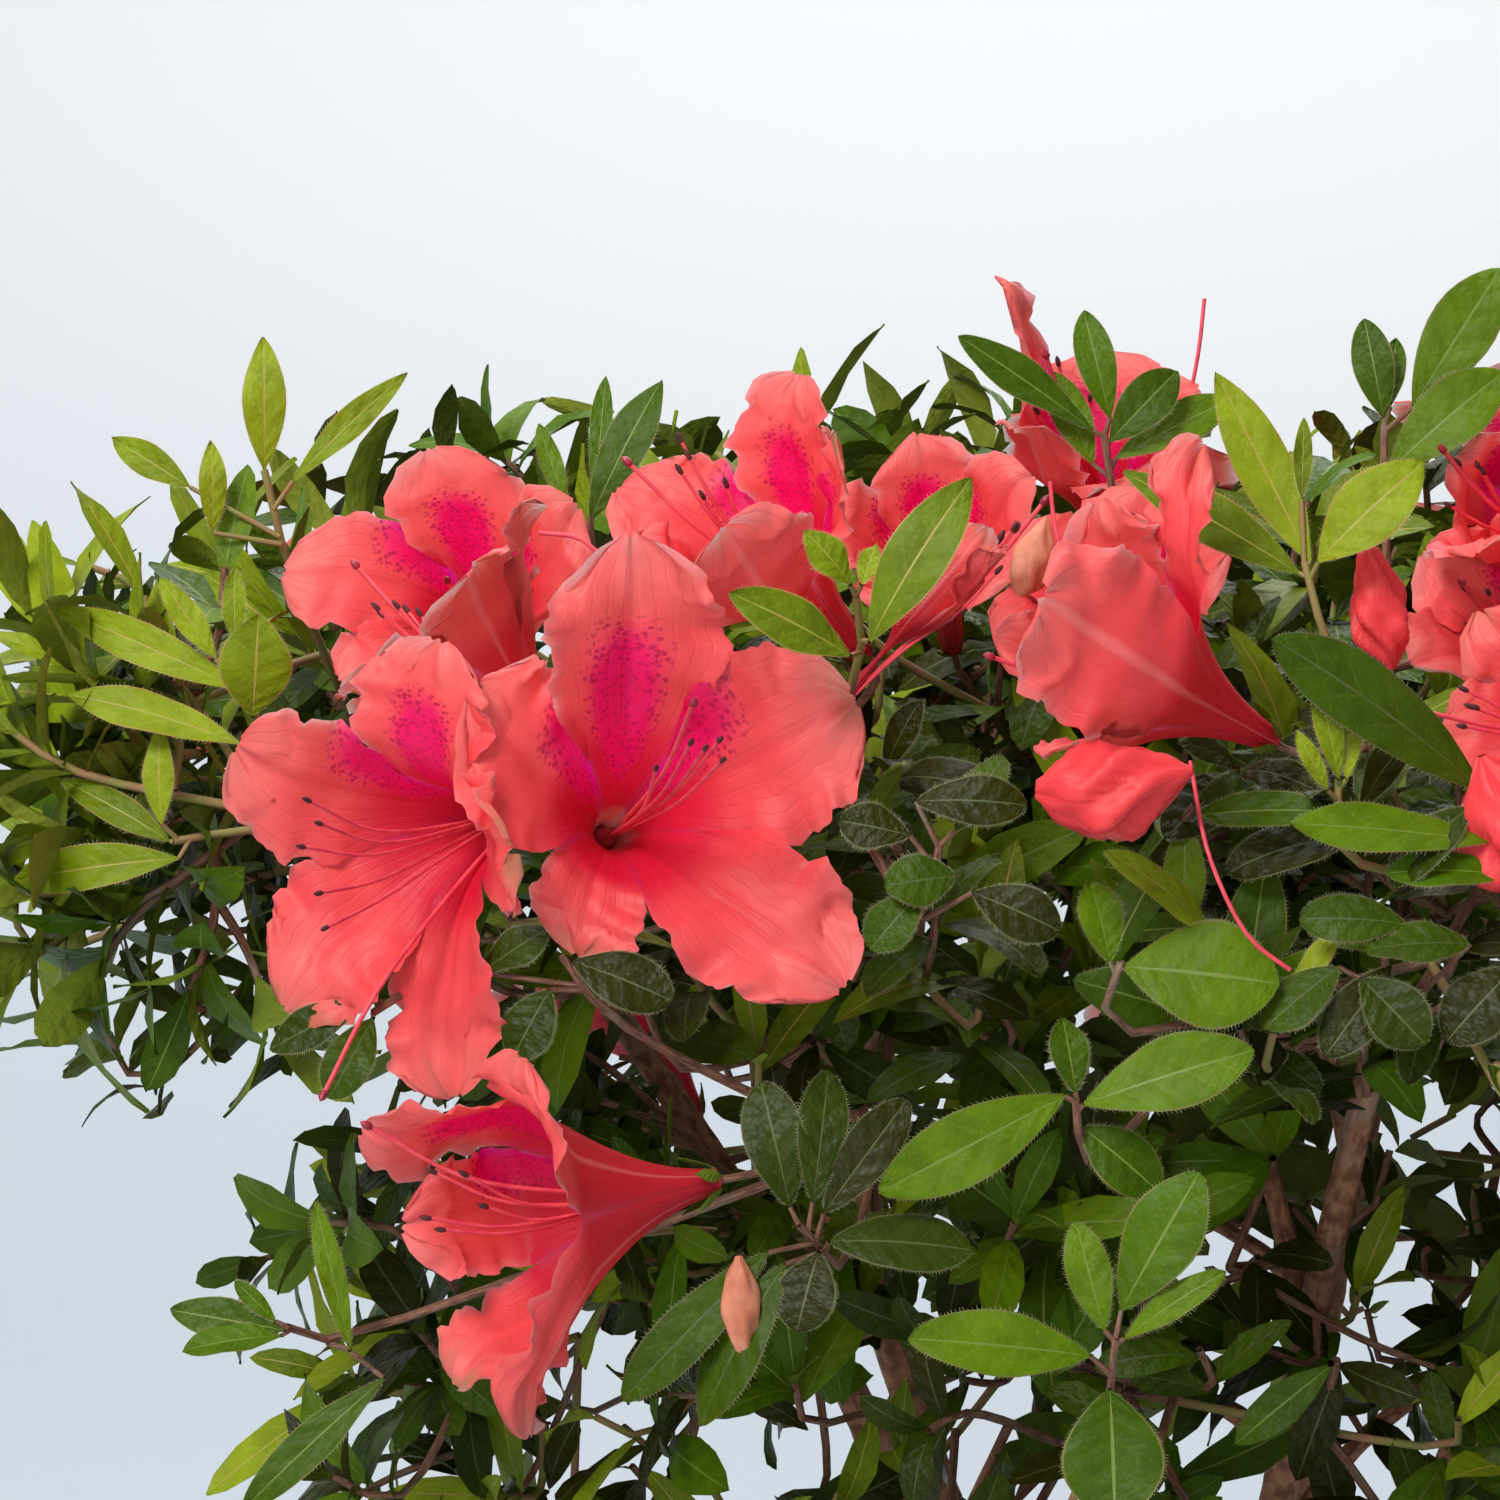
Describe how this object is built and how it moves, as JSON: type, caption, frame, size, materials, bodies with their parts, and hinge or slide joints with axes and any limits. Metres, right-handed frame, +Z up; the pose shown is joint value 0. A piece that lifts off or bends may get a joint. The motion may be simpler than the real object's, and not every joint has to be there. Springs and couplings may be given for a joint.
{
  "type": "azalea shrub",
  "caption": "Low rounded azalea shrub in a plain round pot: short trunk, forking boughs, and a full bun of leafy twigs with coral pink funnel blooms",
  "frame": {"origin": "centre of the flat underside of the pot, which is the mount base", "axes": "+Z up, along the trunk; the pot's underside faces -Z; the front of the plant, where its most told-apart blooms are, faces -Y; +X is to the right seen from the front"},
  "size_m": [0.4978, 0.5219, 0.6448],
  "materials": {
    "pot": "matte",
    "potting_mix": "rough",
    "bark": "rough",
    "foliage": "satin"
  },
  "bodies": {
    "root": {"pot": "pot", "potting_mix": "potting_mix", "trunk": "bark", "main_bough_1": "bark", "main_bough_2": "bark", "main_bough_3": "bark", "main_bough_4": "bark", "main_bough_5": "bark", "side_bough_1": "bark", "side_bough_2": "bark", "side_bough_3": "bark", "side_bough_4": "bark", "side_bough_5": "bark", "side_bough_6": "bark", "side_bough_7": "bark", "side_bough_8": "bark", "side_bough_9": "bark", "side_bough_10": "bark", "side_bough_11": "bark", "side_bough_12": "bark", "side_bough_13": "bark", "foliage_upper_1": "foliage", "foliage_upper_2": "foliage", "foliage_upper_3": "foliage", "foliage_upper_4": "foliage", "foliage_upper_5": "foliage", "foliage_upper_6": "foliage", "foliage_upper_7": "foliage", "foliage_upper_8": "foliage", "foliage_top_1": "foliage", "foliage_top_2": "foliage", "foliage_top_3": "foliage", "foliage_top_4": "foliage", "foliage_lower_1": "foliage", "foliage_lower_2": "foliage", "foliage_lower_3": "foliage", "foliage_lower_4": "foliage", "foliage_lower_5": "foliage", "foliage_lower_6": "foliage"}
  },
  "joints": []
}
